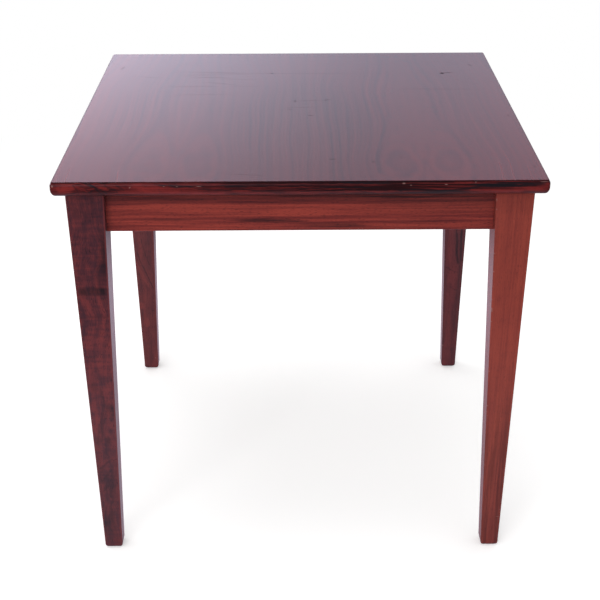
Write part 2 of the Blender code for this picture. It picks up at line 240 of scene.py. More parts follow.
class Nodes:
    """The node tree of a material or the world, emptied and built again."""

    def __init__(self, tree):
        self.tree = tree
        tree.nodes.clear()

    def node(self, kind, settings=(), sockets=(), output=0):
        """Adds a node: its settings first, then the value or link of each socket."""
        made = self.tree.nodes.new(kind)
        for name, setting in dict(settings).items():
            if name == "stops":
                self.set_stops(made.color_ramp, setting)
            else:
                setattr(made, name, setting)
        for key, value in dict(sockets).items():
            if isinstance(value, Value):
                self.tree.links.new(value.socket, made.inputs[key])
            else:
                made.inputs[key].default_value = value
        if isinstance(output, tuple):
            return [Value(self, made.outputs[name]) for name in output]
        return Value(self, made.outputs[output]) if made.outputs else None

    @staticmethod
    def set_stops(ramp, stops):
        """Gives a colour ramp its stops, each a place from 0 to 1 and a grey."""
        while len(ramp.elements) < len(stops):
            ramp.elements.new(1)
        for element, (place, grey) in zip(ramp.elements, stops):
            element.position = place
            element.color = (grey, grey, grey, 1)

    def math(self, operation, first, second=0.0):
        return self.node("ShaderNodeMath", {"operation": operation}, {0: first, 1: second})

    def point(self, x, y, z):
        return self.node("ShaderNodeCombineXYZ", (), {"X": x, "Y": y, "Z": z})

    def noise(self, x, y, z, detail=2.0, rough=0.5):
        """Noise from 0 to 1 at a place given in units of its grain."""
        sockets = {"Vector": self.point(x, y, z), "Scale": 1.0, "Detail": detail, "Roughness": rough}
        return self.node("ShaderNodeTexNoise", (), sockets)

    def step(self, value, start, end, low=0.0, high=1.0):
        """Eases from low to high as the value goes from start to end."""
        sockets = {"Value": value, "From Min": start, "From Max": end, "To Min": low, "To Max": high}
        return self.node("ShaderNodeMapRange", {"interpolation_type": "SMOOTHSTEP"}, sockets)

    def ramp(self, value, stops):
        """A grey that follows its stops as the value goes from 0 to 1."""
        return self.node("ShaderNodeValToRGB", {"stops": stops}, {"Fac": value})

    def blend(self, factor, first, second, mode="MIX"):
        """Mixes two colours."""
        settings = {"data_type": "RGBA", "blend_type": mode}
        sockets = {0: factor, 6: as_tint(first), 7: as_tint(second)}
        return self.node("ShaderNodeMix", settings, sockets, 2)

    def finish(self, relief, strength, looks, depth=0.3):
        """Ends a material: a relief of a depth in millimetres, and how the surface looks."""
        sockets = {"Strength": strength, "Distance": depth * MM, "Height": relief}
        bump = self.node("ShaderNodeBump", (), sockets)
        shader = self.node("ShaderNodeBsdfPrincipled", (), {**looks, "Normal": bump})
        self.node("ShaderNodeOutputMaterial", (), {"Surface": shader})


def as_tint(value):
    """A colour as a socket takes it."""
    return value if isinstance(value, Value) else (*value, 1.0)


def new_material(name):
    material = bpy.data.materials.new(name)
    material.use_nodes = True
    return material, Nodes(material.node_tree)


@dataclass(frozen=True)
class Mark:
    """A patch, streak or scratch, placed along and across the grain or the face, in millimetres."""
    along: float
    across: float
    half_length: float
    half_width: float
    strength: float = 1.0
    lean: float = 0.0  # How far it shifts across with each step along


def marks(*rows):
    """Marks from rows of their values."""
    return tuple(Mark(*row) for row in rows)


@dataclass(frozen=True)
class Vein:
    """A dark line that runs through places along and across the grain, in millimetres."""
    half_width: float
    strength: float
    path: tuple


@dataclass(frozen=True)
class Board:
    """How a piece was cut from the log, in millimetres, and what its face shows.

    The grain runs along the first of its axes, the second lies across its face, and the third goes into it.
    Marks are placed along that first axis, and across from the low side of the piece's box.
    """
    axes: str
    light: str
    dark: str
    log: tuple  # Where in the log the piece lies, so that no two boards are alike
    band: float = 4  # Width of the light and dark bands
    sway: float = 4  # How far the bands wander to each side
    reach: float = 180  # How far along the grain they wander once
    slope: float = 0.5  # How the bands lean into the board
    ink: float = 0.15  # How much of the board black lines take up
    ink_band: float = 3  # Distance from one black line to the next
    gloss: float = 0.30
    coat: float = 0.6
    contrast: float = 1.0
    fray: float = 2  # How far the edges of marks fray
    cloud: float = 0.0
    ripple: float = 0.0
    shade: str = "ink"  # The colour of the shades
    wisp: float = 0.45  # How much of a shade lies between its fibres
    pore: float = 0.6
    wear: float = 0.25
    # rim paints a highlight along the long arrises
    rim: float = 0.0  # How light the arrises are
    front: float = 0.0  # How far behind the low side of the box the marks have their place
    lean: float = 0.0  # How far marks shift across with each step behind that place
    swirls: tuple = ()  # Their strength is how far they bend the grain
    veins: tuple = ()
    dark_marks: tuple = ()
    # Shades are darker wood, and on the front apron and front lipping also painted shade and shadow
    shades: tuple = ()
    light_marks: tuple = ()
    chips: tuple = ()


def hidden_boards(wood, logs, **cut):
    """The right, back and left boards of a wood, which the front one hides."""
    return {side: Board(axes, f"{wood}_light", f"{wood}_dark", log, **cut)
            for side, axes, log in zip(SIDES[1:], ("YZX", "XZY", "YZX"), logs)}


def leg_board(light, dark, log, **cut):
    return Board("ZXY", light, dark, log, slope=0.6, lean=0.7, **cut)


def patches(nodes, along, across, marks):
    """Soft oval patches, each from 0 outside to its strength in its middle, added up."""
    total = 0.0
    for mark in marks:
        reach = (along - mark.along) / mark.half_length
        width = (across - mark.across - mark.lean * (along - mark.along)) / mark.half_width
        total = total + nodes.step(reach * reach + width * width, 1.0, 0.0, 0.0, mark.strength)
    return total


def follow(nodes, along, path):
    """How far a place lies along a path, from 0 to 1, and where the path lies across the grain there."""
    start, end = path[0][0], path[-1][0]
    low = min(level for place, level in path)
    span = max(level for place, level in path) - low
    share = (along - start) / (end - start)
    stops = [((place - start) / (end - start), (level - low) / span) for place, level in path]
    return share, nodes.ramp(share, stops) * span + low


def vein_lines(nodes, along, across, veins):
    """Dark lines, each from 0 beside it to its strength in its middle and fading at its ends, added up."""
    total = 0.0
    for vein in veins:
        share, level = follow(nodes, along, vein.path)
        away = abs(across - level) / vein.half_width
        fade = nodes.step(abs(share - 0.5), 0.5, 0.42, 0.0, vein.strength)
        total = total + nodes.step(away, 1.0, 0.3) * fade
    return total


def board_place(nodes, axes):
    """Object coordinates along the grain, across the face and into the board, in millimetres."""
    coordinates = nodes.node("ShaderNodeTexCoord", (), (), "Object")
    sockets = {"Vector": coordinates, "Scale": 1 / MM}
    scaled = nodes.node("ShaderNodeVectorMath", {"operation": "SCALE"}, sockets)
    parts = nodes.node("ShaderNodeSeparateXYZ", (), {"Vector": scaled}, ("X", "Y", "Z"))
    by_axis = dict(zip("XYZ", parts))
    return [by_axis[axis] for axis in axes]


def rosewood(node, board, colours, near_arris=None):
    """Rosewood cut as a board says, under clear lacquer. near_arris tells how near a place is to one."""
    material, nodes = new_material(f"rosewood_{node}")
    along, across, into = board_place(nodes, board.axes)
    run, side, deep = [place + start for place, start in zip((along, across, into), board.log)]
    low = dict(zip("XYZ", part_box(node)[0] / MM))
    level = across - low[board.axes[1]]
    inward = into - low[board.axes[2]]

    def blotches(long, wide, thick, detail=1.0, rough=0.5):
        """Noise from -0.5 to 0.5 in grains of these sizes along, across and into the board."""
        return nodes.noise(run / long, side / wide, deep / thick, detail, rough) - 0.5

    def strands(wide, long, thick, detail=1.0, rough=0.5):
        """Noise from 0 to 1 drawn out along the lines of the grain."""
        return nodes.noise(line / wide, run / long, deep / thick, detail, rough)

    wander = blotches(board.reach, 50, 50)
    waver = blotches(22, 12, 12, 2.0)
    line = side + board.slope * deep + wander * (2 * board.sway) + waver * (0.35 * board.sway)
    if board.swirls:
        line = line + blotches(11, 7, 10) * patches(nodes, along, level, board.swirls)

    # Light and dark bands, finer threads, and the light marks
    bands = strands(board.band, 350, 200, 3.0, 0.6)
    threads = strands(0.9, 60, 60)
    clouds = blotches(20, 10, 10, 2.0, 0.6) * board.cloud
    ripples = blotches(4.5, 22, 30) * board.ripple
    grain = bands * 0.7 + threads * 0.3 + clouds + ripples
    half_range = 0.22 / board.contrast
    tone = nodes.step(grain, 0.5 - half_range, 0.5 + half_range)
    ragged = blotches(10, 1.6, 1.6, 3.0, 0.6) * board.fray
    leaned = level + (inward - board.front) * board.lean
    bent = leaned + wander * board.sway + ragged
    tone = tone + patches(nodes, along, bent, board.light_marks)
    light = getattr(colours, board.light)
    tint = nodes.blend(tone, getattr(colours, board.dark), light)

    # Shades, which on some boards include painted shade and shadow, black lines and pores
    streaks = strands(board.ink_band, 110, 100, 4.0, 0.6)
    shaded = patches(nodes, along, bent, board.shades) * nodes.step(streaks, 0.38, 0.62, board.wisp, 1.15)
    tint = nodes.blend(shaded, tint, getattr(colours, board.shade))
    bias = 0.78 - 0.42 * board.ink - 0.4 * patches(nodes, along, bent, board.dark_marks)
    veins = vein_lines(nodes, along, leaned + ragged, board.veins)
    tint = nodes.blend(nodes.step(streaks - bias, -0.03, 0.07) + veins, tint, colours.ink)
    pores = nodes.step(strands(0.35, 5, 0.35, 0.0), 0.66, 0.74)
    tint = nodes.blend(pores * board.pore, tint, colours.ink)

    # Chips, painted glints at the ends of the front nose, and arrises where the lacquer has worn off
    worn = patches(nodes, along, leaned, board.chips)
    if near_arris:
        arris = near_arris(nodes, along, level, inward)
        # A painted highlight along the long arrises of the leg
        tint = nodes.blend(arris * board.rim, tint, light)
        worn = worn + arris * nodes.step(blotches(6, 20, 20, 2.0, 0.6), 0.10, 0.18, 0.0, board.wear)
    tint = nodes.blend(worn, tint, colours.worn)
    nodes.finish(bands * 0.4 + threads * 0.3 - pores, 0.12, {
        "Base Color": tint, "Roughness": board.gloss + bands * 0.06 + pores * 0.10 + worn * 0.2,
        "Specular IOR Level": 0.1, "Coat Weight": board.coat * (1.0 - worn),
        "Coat Roughness": 0.16, "Coat IOR": 1.45})
    return material


# The dark line that runs up every leaf, and the marks that the face has once
FACE_SPINE = Vein(4.4, 0.17, ((280, 14), (244, 16.5), (100, 28), (-30, 31.5), (-130, 47),
                             (-200, 56), (-275, 57)))
FACE_SCRATCHES = marks(
    (-118, 171.5, 46, 0.8, 0.8, -0.03), (-20, 166, 120, 0.6, 0.5, -0.02),
    (-117, 163.5, 60, 0.6, 0.5, 0.01), (-170, 176.5, 52, 0.6, 0.4, 0.02), (-140, 156, 50, 0.6, 0.5, -0.02),
    (-127, 146.8, 36, 0.9, 0.6, -0.02), (-90, 138, 45, 0.6, 0.4, -0.08),
    (-110, 116.8, 34, 0.9, 0.5, -0.31), (-148, 101.5, 50, 0.7, 0.5, 0.01), (-70, 101, 40, 0.6, 0.4, -0.02),
    (-133, 62, 60, 0.7, 0.5, 0.04), (-212, 150, 32, 0.8, 0.5, -0.24), (188, 83.2, 90, 0.7, 0.5, -0.02),
    (120, 165, 150, 0.6, 0.3, -0.01), (10, 31, 30, 0.7, 0.5, 0.09), (0, 1, 40, 0.6, 0.4, 0.05),
    (38, -204.6, 6, 1.2, 0.9), (-203, -124.3, 12, 1.2, 0.35, -0.2), (-62, -256.4, 34, 0.7, 0.6, -0.17),
)
FACE_SPOTS = marks(
    (-255, 199, 4, 9, 0.25, 1.2), (-38.2, 166.1, 2, 2.2, 1), (-5.3, 30.2, 2, 2.2, 1),
    (-11.9, -7.3, 4.5, 0.8, 0.9), (37.6, 34.5, 6.5, 1.3, 1, 0.3), (14, -34.1, 4.5, 1.4, 0.8, -0.3),
    (204.3, 163, 4, 4.5, 1), (213, 166, 8, 1.6, 0.8), (249.3, 206.1, 4, 6, 0.25, -1.2),
    (268.1, -38.6, 2, 6, 0.3), (85.3, -214.9, 2, 4, 0.3), (118.8, -201.3, 1.8, 2, 0.4),
    (268.9, -232.8, 2, 4, 0.3), (-116, -259, 1.2, 1.5, 0.5),
)

# The heart of the log below a leaf, in millimetres: from the seam, along the leaf, and its depth
HEART_ACROSS = 29
HEART_ALONG = -217
HEART_DEPTH = 29
# How far the tight ovals reach from the heart, and their greys from the middle outwards
OVAL_REACH = 31
OVAL_GREYS = ((0.0, 0.42), (0.24, 0.34), (0.42, 0.02), (0.50, 0.2), (0.62, 0.62), (0.74, 0.55),
              (0.84, 0.12), (0.93, 0.18), (1.0, 0.5))


def face_veneer(colours, sizes):
    """Book-matched rosewood leaves: every leaf repeats the figure, mirrored at each seam."""
    material, nodes = new_material("rosewood_face_veneer")
    x, y, z = board_place(nodes, "XYZ")
    fold = abs(abs(x) - sizes.leaf_width / MM)

    # Rings round the heart near the front, drawn out into lines along the leaf behind it
    wander = nodes.noise(fold / 50, y / 160, 0.3, 1.0) - 0.5
    drift = nodes.noise(x / 110, y / 220, 5.1, 1.0) - 0.5
    waver = nodes.noise(fold / 7, y / 50, x / 200, 1.0) - 0.5
    from_seam = nodes.step(abs(x), 0, 70)
    bent = fold + wander * from_seam * 12 + drift * 10
    off = bent - HEART_ACROSS + nodes.step(y, 80, 260) * from_seam * 15
    rise = nodes.math("TANH", (y - HEART_ALONG) * (0.42 / HEART_DEPTH)) * from_seam * HEART_DEPTH
    ring = nodes.math("SQRT", off * off + rise * rise) + waver * 0.7

    def growth(width, sway, lean):
        """Rings of about one width, which swell and fade, from -1 to 1."""
        swing = (nodes.noise(ring / (5 * width), y / 900, x / lean, 1.0) - 0.5) * sway
        swell = nodes.noise(ring / (3 * width), y / 250, x / lean + 4.0, 1.0)
        return nodes.math("SINE", ring * (2 * pi / width) + swing) * nodes.step(swell, 0.3, 0.7, 0.3, 1.0)

    # Inside the dark line that runs up the leaf, the rings fade
    spine = follow(nodes, y, FACE_SPINE.path)[1]
    clear = nodes.step(x, -60, 60, 0.4, 1.0)
    quiet = nodes.step(bent - spine, 4, -4) * clear
    threads = nodes.noise(ring / 1.6, y / 250, x / 300, 1.0) - 0.5
    threads = threads * nodes.step(y, -260, -100, 0.3, 1.0)
    broad = nodes.noise(ring / 30, y / 900, 1.7, 1.0) - 0.5
    rings = growth(11, 8.0, 500) * 0.15 + growth(4.3, 14.0, 400) * 0.16 + threads * 0.35 + broad * 0.5
    left_leaf = nodes.step(x, -90, -170, 0.85, 1.5)
    front_corner = nodes.step(x, -160, -240, 0.0, 0.7) * nodes.step(y, -100, -220)
    rings = rings * (left_leaf - front_corner)
    tone = 0.48 + rings * (1.0 - quiet * 0.65) - vein_lines(nodes, y, bent, (FACE_SPINE,)) * clear

    # The tight ovals at the heart
    lump = nodes.noise(x / 22, y / 30, 6.6, 1.0) - 0.5
    oval = nodes.ramp((ring + waver * 3 + lump * 14) / OVAL_REACH, OVAL_GREYS) + lump * 0.7
    near_heart = nodes.step(ring, 36, 27) * nodes.step(y, HEART_ALONG + 75, HEART_ALONG + 45)
    tone = tone + (oval - tone) * near_heart * 0.48
    tint = nodes.blend(tone, colours.veneer_dark, colours.veneer_light)
    outer = abs(x) + nodes.step(y, -50, 250) * 120
    glow = nodes.step(outer, 30, 160, 0.30, 1.0) * nodes.step(x, -280, 280, 0.75, 1.0)
    tint = nodes.blend(glow, tint, colours.veneer_glow, "ADD")
    pores = nodes.step(nodes.noise(ring / 0.5, y / 8, x / 10, 0.0), 0.68, 0.76)
    tint = nodes.blend(pores * 0.5, tint, colours.ink)

    # Scratches, hairlines where the top was rubbed, spots, and painted shade on the cut edge
    hair = nodes.step(abs(nodes.noise(x / 70, y / 3.5, 2.2, 0.0) - 0.5), 0.004, 0.001)
    rubbed = nodes.step(nodes.noise(x / 160, y / 130, 7.3, 1.0), 0.52, 0.62)
    scratches = patches(nodes, x, y, FACE_SCRATCHES) + hair * rubbed * 0.4
    # Below the top face the cut edge is painted dark: painted shade
    spots_and_edge_shade = patches(nodes, x, y, FACE_SPOTS) + nodes.step(z - TABLE_HEIGHT / MM, -0.05, -0.3)
    tint = nodes.blend(scratches + spots_and_edge_shade, tint, colours.ink)
    peel = nodes.noise(x / 7, y / 10, 4.4, 1.0) - 0.5
    nodes.finish(peel * 0.8 + threads * 0.3 - pores * 0.3 - scratches, 0.05, {
        "Base Color": tint, "Roughness": 0.47 + threads * 0.05, "Specular IOR Level": 0.0,
        "Coat Weight": 1.0 - scratches * 0.7 - spots_and_edge_shade * 0.8, "Coat Roughness": 0.22, "Coat IOR": 1.5})
    return material


def plain_wood(name, axes, light, dark, grain, rough):
    """Bare planed wood with short fine grain of a width in millimetres."""
    material, nodes = new_material(name)
    along, across, into = board_place(nodes, axes)
    bands = nodes.noise(across / grain, along / (30 * grain), into / grain, 3.0, 0.6)
    flecks = nodes.step(nodes.noise(across / 0.8, along / 4, into / 0.8, 0.0), 0.62, 0.72)
    tint = nodes.blend(nodes.step(bands, 0.3, 0.7), dark, light)
    tint = nodes.blend(flecks * 0.4, tint, dark)
    nodes.finish(bands - flecks, 0.3, {"Base Color": tint, "Roughness": rough + flecks * 0.1})
    return material


def beech(name, axes, colours):
    return plain_wood(name, axes, colours.beech_light, colours.beech_dark, 3, 0.6)


def chipboard():
    """Pressed chips of pale wood."""
    material, nodes = new_material("chipboard")
    place = nodes.node("ShaderNodeTexCoord", (), (), "Object")
    chips = nodes.node("ShaderNodeTexVoronoi", (), {"Vector": place, "Scale": 420.0}, "Color")
    light = nodes.node("ShaderNodeSeparateColor", (), {"Color": chips}, "Red")
    tint = nodes.blend(light, (0.36, 0.22, 0.11), (0.66, 0.48, 0.30))
    nodes.finish(light, 0.6, {"Base Color": tint, "Roughness": 0.75 + light * 0.15}, 0.4)
    return material


def zinc():
    """Bright zinc with a dull bloom."""
    material, nodes = new_material("bright_zinc")
    x, y, z = board_place(nodes, "XYZ")
    bloom = nodes.noise(x / 1.2, y / 1.2, z / 1.2, 3.0, 0.6)
    tint = nodes.blend(nodes.step(bloom, 0.35, 0.65), (0.38, 0.37, 0.34), (0.66, 0.66, 0.63))
    nodes.finish(bloom, 0.2, {"Base Color": tint, "Metallic": 1.0, "Roughness": 0.28 + bloom * 0.2}, 0.1)
    return material


def add_object(name, data):
    """Links a new object that holds a mesh, a lamp or a camera."""
    made = bpy.data.objects.new(name, data)
    bpy.context.scene.collection.objects.link(made)
    return made


def add_mesh(name, bm):
    """Links a new object with the mesh of a bmesh."""
    mesh = bpy.data.meshes.new(name)
    bm.to_mesh(mesh)
    bm.free()
    return add_object(name, mesh)


def to_piece(name, bm, material, node):
    """Makes a piece of a bmesh, with a finish, in place of a CAD node."""
    bmesh.ops.recalc_face_normals(bm, faces=bm.faces)
    piece = add_mesh(name, bm)
    piece.data.shade_smooth()
    piece.data.set_sharp_from_angle(angle=radians(SHARP_DEGREES))
    piece.data.materials.append(material)
    flatten = piece.modifiers.new("flat faces", "WEIGHTED_NORMAL")
    flatten.keep_sharp = True
    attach(piece, "root")
    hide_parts(node)


def skin(bm, rings):
    """Faces between each ring of vertices and the next."""
    for lower, upper in zip(rings, rings[1:]):
        for here in range(len(lower)):
            after = (here + 1) % len(lower)
            bm.faces.new((lower[here], lower[after], upper[after], upper[here]))


def stacked(outlines):
    """A closed solid through flat outlines, each given with its height, lowest first."""
    bm = bmesh.new()
    rings = [[bm.verts.new((x, y, height)) for x, y in outline] for outline, height in outlines]
    skin(bm, rings)
    bm.faces.new(rings[0])
    bm.faces.new(rings[-1])
    return bm


def arc(start, end, steps):
    return [start + (end - start) * step / steps for step in range(steps + 1)]


def circle(radius, facets):
    """Plan outline of a round bar. The radius is a size or a function of the angle."""
    outline = []
    for step in range(facets):
        angle = 2 * pi * step / facets
        reach = radius(angle) if callable(radius) else radius
        outline.append((reach * cos(angle), reach * sin(angle)))
    return outline


def rounded_rectangle(half_x, half_y, radius, steps):
    """Plan outline, anticlockwise."""
    outline = []
    for quarter, (side_x, side_y) in enumerate(((1, 1), (-1, 1), (-1, -1), (1, -1))):
        for angle in arc(quarter * pi / 2, (quarter + 1) * pi / 2, steps):
            outline.append((side_x * (half_x - radius) + radius * cos(angle),
                            side_y * (half_y - radius) + radius * sin(angle)))
    return outline


def top_outline(sizes, inset):
    radius = max(sizes.plan_corner - inset, 0)
    return rounded_rectangle(HALF_WIDTH - inset, HALF_DEPTH - inset, radius, PLAN_STEPS)


def nose_points(sizes, low, high, steps):
    """(inset, height) points from one height to another round the nose, which ends in a crisp arris."""
    radius = (sizes.arris_inset ** 2 + sizes.nose_drop ** 2) / (2 * sizes.arris_inset)
    level = TABLE_HEIGHT - sizes.nose_drop
    ends = [asin((height - level) / radius) for height in (low, high)]
    return [(radius * (1 - cos(angle)), level + radius * sin(angle)) for angle in arc(*ends, steps)]


def cut_line(bm, point, normal, saw_off=False):
    """Draws a cut through a solid, and saws off what lies past it."""
    geometry = bm.verts[:] + bm.edges[:] + bm.faces[:]
    made = bmesh.ops.bisect_plane(bm, geom=geometry, dist=SAME_PLACE, plane_co=point, plane_no=normal,
                                  clear_outer=saw_off)
    if saw_off:
        rim = [item for item in made["geom_cut"] if isinstance(item, bmesh.types.BMEdge)]
        bmesh.ops.holes_fill(bm, edges=rim)


def carved(bm, cutters):
    """A solid with other closed solids cut out of it."""
    shapes = []
    for shape in (bm, *cutters):
        bmesh.ops.recalc_face_normals(shape, faces=shape.faces)
        shapes.append(add_mesh("blank", shape))
    for cutter in shapes[1:]:
        cut = shapes[0].modifiers.new("cut", "BOOLEAN")
        cut.object = cutter
    seen = shapes[0].evaluated_get(bpy.context.evaluated_depsgraph_get())
    result = bmesh.new()
    result.from_mesh(seen.to_mesh())
    for blank in shapes:
        mesh = blank.data
        bpy.data.objects.remove(blank)
        bpy.data.meshes.remove(mesh)
    return result


def leg_half_width(sizes, height):
    """Half the width of a leg at a height above the floor."""
    low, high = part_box("leg_front_left")
    top_width = high.x - low.x
    return (sizes.foot_width + (top_width - sizes.foot_width) * height / high.z) / 2


def side_place(index):
    """Turns what is made along the front to another side."""
    return Matrix.Rotation(index * pi / 2, 4, "Z")


def screw_place(node):
    """Places a screw that is made along Z, from the flat of its head to its point, where its node is."""
    low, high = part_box(node)
    middle = (low + high) / 2
    span = high - low
    axis = max(range(3), key=lambda item: span[item])
    travel = Vector((0, 0, 0))
    travel[axis] = 1 if axis == 2 or middle[axis] > 0 else -1
    turned = Vector((0, 0, 1)).rotation_difference(travel).to_matrix().to_4x4()
    return Matrix.Translation(middle - travel * span[axis] / 2) @ turned, span[axis]


# Each softbox: its place, what it is turned to and its size, in metres
SOFTBOXES = {
    "overhead": ((-0.3, 0.1, 2.4), (0, 0, 0.4), 1.6),
    "fill": ((-0.9, -2.7, 1.5), (0, 0, 0.25), 1.8),
}
FLOOR_REACH = 6.0
# Between these distances from the middle, in millimetres, the open floor turns white and its
# reflection in the lacquer turns black
WHITE_FLOOR = (700, 1600)
BLACK_REFLECTION = (450, 1100)
WHITE = (1, 1, 1, 1)


class TABLE_OT_stage(bpy.types.Operator):
    """Set up the floor, the light and the camera"""
    bl_idname = "table.stage"
    bl_label = "Stage"

    def execute(self, context):
        stage = context.scene.side_table.stage
        context.scene.view_settings.view_transform = "Standard"
        self.add_camera(context, stage)
        self.add_floor(stage)
        self.add_surround(context, stage)
        for name in SOFTBOXES:
            self.add_softbox(name, getattr(stage, name))
        return {"FINISHED"}

    def add_camera(self, context, stage):
        camera = add_object("camera", bpy.data.cameras.new("camera"))
        camera.data.lens = stage.lens
        look = Matrix.Rotation(stage.yaw, 4, "Z") @ Matrix.Rotation(pi / 2 - stage.pitch, 4, "X")
        camera.matrix_world = Matrix.Translation(stage.place) @ look @ Matrix.Rotation(-stage.roll, 4, "Z")
        context.scene.camera = camera

    def add_floor(self, stage):
        """A pale floor that keeps the table's shadow and runs out into the white background."""
        bm = bmesh.new()
        bmesh.ops.create_grid(bm, x_segments=4, y_segments=4, size=FLOOR_REACH)
        floor = add_mesh("floor", bm)
        material, nodes = new_material("pale_floor")
        x, y = board_place(nodes, "XY")
        seen, mirrored = nodes.node("ShaderNodeLightPath", (), (), ("Is Camera Ray", "Is Glossy Ray"))
        away = nodes.math("SQRT", x * x + y * y)
        near_tint = nodes.blend(mirrored, (0.62, 0.61, 0.62), (0.86, 0.71, 0.87))
        near_tint = nodes.blend(seen, near_tint, (0.98, 0.98, 0.98))
        tint = nodes.blend(mirrored * nodes.step(away, *BLACK_REFLECTION, 0.0, 0.9), near_tint, (0, 0, 0))
        paper = nodes.node("ShaderNodeBsdfDiffuse", (), {"Color": tint})
        lift = nodes.node("ShaderNodeEmission", (), {"Color": WHITE, "Strength": seen * stage.floor})
        lifted = nodes.node("ShaderNodeAddShader", (), {0: paper, 1: lift})
        white = nodes.node("ShaderNodeEmission", (), {"Color": WHITE, "Strength": 1.0})
        far = nodes.step(away, *WHITE_FLOOR) * seen
        mixed = nodes.node("ShaderNodeMixShader", (), {0: far, 1: lifted, 2: white})
        nodes.node("ShaderNodeOutputMaterial", (), {"Surface": mixed})
        floor.data.materials.append(material)

    def add_surround(self, context, stage):
        """White to the camera, soft grey to the wood, and in the lacquer a window glow from the left."""
        world = bpy.data.worlds.new("studio")
        context.scene.world = world
        world.use_nodes = True
        nodes = Nodes(world.node_tree)
        seen, mirrored, through = nodes.node(
            "ShaderNodeLightPath", (), (), ("Is Camera Ray", "Is Glossy Ray", "Is Transmission Ray"))
        direction = nodes.node("ShaderNodeTexCoord", (), (), "Generated")
        x, y, z = nodes.node("ShaderNodeSeparateXYZ", (), {"Vector": direction}, ("X", "Y", "Z"))
        window_light = 1.7
        mirrored_light = 1.26
        beside = nodes.step(x, 0.10, -0.22)
        window = beside * nodes.step(z, 0.36, 0.22) * window_light
        wall = nodes.step(z, 0.42, 0.16, 0.31, 1.10) * nodes.step(y, -0.3, 0.3, 0.05, 1.0)
        strength = seen + through + mirrored * (wall + window) * mirrored_light
        plain = (1.0 - seen) * (1.0 - through) * (1.0 - mirrored) * stage.surround
        glow = nodes.blend(beside, (0.62, 0.79, 1.0), (0.84, 0.81, 1.0))
        tint = nodes.blend(mirrored, (1, 1, 1), glow)
        light = nodes.node("ShaderNodeBackground", (), {"Color": tint, "Strength": strength + plain})
        nodes.node("ShaderNodeOutputWorld", (), {"Surface": light})

    def add_softbox(self, name, power):
        place, target, size = SOFTBOXES[name]
        lamp = bpy.data.lights.new(name, "AREA")
        lamp.size = size
        lamp.energy = power
        softbox = add_object(name, lamp)
        aim = (Vector(target) - Vector(place)).to_track_quat("-Z", "Y")
        softbox.matrix_world = Matrix.Translation(place) @ aim.to_matrix().to_4x4()
        softbox.visible_glossy = False


class TABLE_OT_veneer(bpy.types.Operator):
    """Lay the four book-matched leaves of the face veneer"""
    bl_idname = "table.veneer"
    bl_label = "Face veneer"

    def execute(self, context):
        settings = context.scene.side_table
        sizes = settings.top
        finish = face_veneer(settings.colours, sizes)
        edge = nose_points(sizes, VENEER_BASE, TABLE_HEIGHT, FACE_STEPS)
        seams = (-sizes.leaf_width, 0, sizes.leaf_width)
        for leaf in range(len(seams) + 1):
            bm = stacked([(top_outline(sizes, inset), height) for inset, height in edge])
            if leaf > 0:
                cut_line(bm, (seams[leaf - 1], 0, 0), (-1, 0, 0), saw_off=True)
            if leaf < len(seams):
                cut_line(bm, (seams[leaf], 0, 0), (1, 0, 0), saw_off=True)
            to_piece(f"veneer_leaf_{leaf + 1}", bm, finish, "top_veneer")
        return {"FINISHED"}


LIPPING_BOARDS = hidden_boards(
    "lipping", ((1310, 200, 0), (2310, 100, 300), (3310, 300, 100)),
    band=3.2, reach=120, slope=0.4, ink=0.5, ink_band=4, gloss=0.22, coat=1.0)
